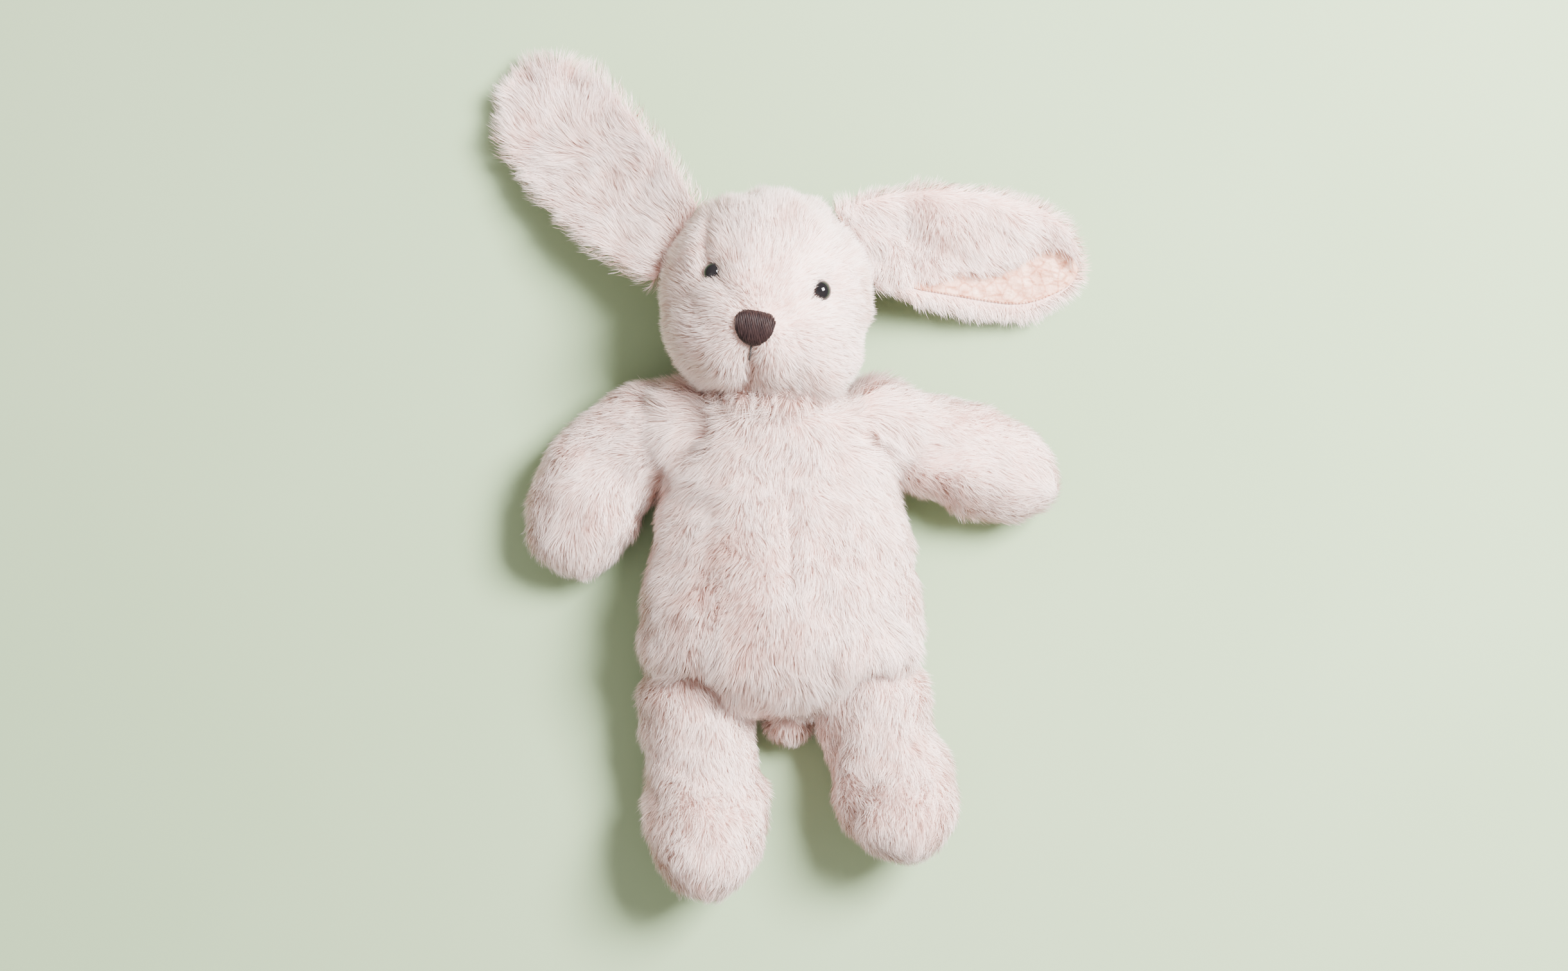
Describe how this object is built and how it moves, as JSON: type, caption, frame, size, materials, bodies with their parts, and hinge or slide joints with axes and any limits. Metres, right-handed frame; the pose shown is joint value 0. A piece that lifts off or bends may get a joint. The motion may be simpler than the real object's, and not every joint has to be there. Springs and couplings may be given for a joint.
{
  "type": "stuffed plush rabbit",
  "caption": "Soft plush rabbit with long fur, round head, floppy lined ears, curved arms, plump legs and a small tail, lying on its back.",
  "frame": {"origin": "middle of the torso's back, on the flat that the toy lies on", "axes": "+Z the way the toy faces, +Y from the seat towards the head, +X the toy's own left"},
  "size_m": [0.2344, 0.3304, 0.0743],
  "materials": {
    "black_thread": "waxed sewing thread",
    "ear_lining": "thin peach fabric with a soft sheen and crushed creases",
    "eye_plastic": "polished black",
    "fibre_filling": "white polyester fibre",
    "fur_fabric": "long soft pale pink pile",
    "locking_washer": "white moulded plastic",
    "nose_embroidery": "dark brown satin stitch",
    "pellet_bag": "plain woven bag of plastic pellets"
  },
  "bodies": {
    "torso": {"torso_back": "fur_fabric", "torso_belly_left": "fur_fabric", "torso_belly_right": "fur_fabric", "torso_filling": "fibre_filling", "torso_pellet_bag": "pellet_bag", "torso_seat": "fur_fabric"},
    "neck": {"neck_gather": "fur_fabric"},
    "head": {"eye_left": "eye_plastic", "eye_right": "eye_plastic", "eye_washer_left": "locking_washer", "eye_washer_right": "locking_washer", "head_cheek_left": "fur_fabric", "head_cheek_right": "fur_fabric", "head_filling": "fibre_filling", "head_gusset": "fur_fabric", "mouth_stitch": "black_thread", "nose": "nose_embroidery"},
    "ear_left": {"ear_left_back": "fur_fabric", "ear_left_lining": "ear_lining"},
    "ear_left_fold": {"ear_left_fold_fur": "fur_fabric", "ear_left_fold_lining": "ear_lining"},
    "ear_right": {"ear_right_back": "fur_fabric", "ear_right_lining": "ear_lining"},
    "arm_left": {"arm_left_back": "fur_fabric", "arm_left_filling": "fibre_filling", "arm_left_front": "fur_fabric"},
    "arm_right": {"arm_right_back": "fur_fabric", "arm_right_filling": "fibre_filling", "arm_right_front": "fur_fabric"},
    "leg_left": {"leg_left_back": "fur_fabric", "leg_left_filling": "fibre_filling", "leg_left_front": "fur_fabric"},
    "leg_right": {"leg_right_back": "fur_fabric", "leg_right_filling": "fibre_filling", "leg_right_front": "fur_fabric"},
    "tail": {"tail_back": "fur_fabric", "tail_filling": "fibre_filling", "tail_front": "fur_fabric"}
  },
  "joints": [
    {"name": "neck_turn", "type": "hinge", "parent": "torso", "child": "neck", "pos_m": [-0.0045, 0.0581, 0.031], "axis": [0, 1, 0], "range_deg": [-40, 40]},
    {"name": "head_nod", "type": "hinge", "parent": "neck", "child": "head", "pos_m": [-0.0045, 0.0581, 0.031], "axis": [1, 0, 0], "range_deg": [-10, 10]},
    {"name": "ear_left_flop", "type": "hinge", "parent": "head", "child": "ear_left", "pos_m": [0.02778, 0.11865, 0.0343], "axis": [0.4848, -0.8746, 0], "range_deg": [-10, 70]},
    {"name": "ear_left_unfold", "type": "hinge", "parent": "ear_left", "child": "ear_left_fold", "pos_m": [0.07736, 0.14311, 0.0199], "axis": [-0.9626, 0.1393, 0.2324], "range_deg": [0, 140]},
    {"name": "ear_right_flop", "type": "hinge", "parent": "head", "child": "ear_right", "pos_m": [-0.0424, 0.11946, 0.0343], "axis": [0.5, 0.866, 0], "range_deg": [-10, 70]},
    {"name": "arm_left_lift", "type": "hinge", "parent": "torso", "child": "arm_left", "pos_m": [0.037, 0.048, 0.019], "axis": [-0.3285, -0.9445, 0], "range_deg": [-15, 65]},
    {"name": "arm_right_lift", "type": "hinge", "parent": "torso", "child": "arm_right", "pos_m": [-0.037, 0.048, 0.019], "axis": [-0.7071, 0.7071, 0], "range_deg": [-15, 65]},
    {"name": "leg_left_swing", "type": "hinge", "parent": "torso", "child": "leg_left", "pos_m": [0.0355, -0.0615, 0.0185], "axis": [-1, 0, 0], "range_deg": [-20, 80]},
    {"name": "leg_right_swing", "type": "hinge", "parent": "torso", "child": "leg_right", "pos_m": [-0.0355, -0.0615, 0.0185], "axis": [-1, 0, 0], "range_deg": [-20, 80]},
    {"name": "tail_wag", "type": "hinge", "parent": "torso", "child": "tail", "pos_m": [0.002, -0.06007, 0.009], "axis": [0, 0, 1], "range_deg": [-15, 15]}
  ]
}
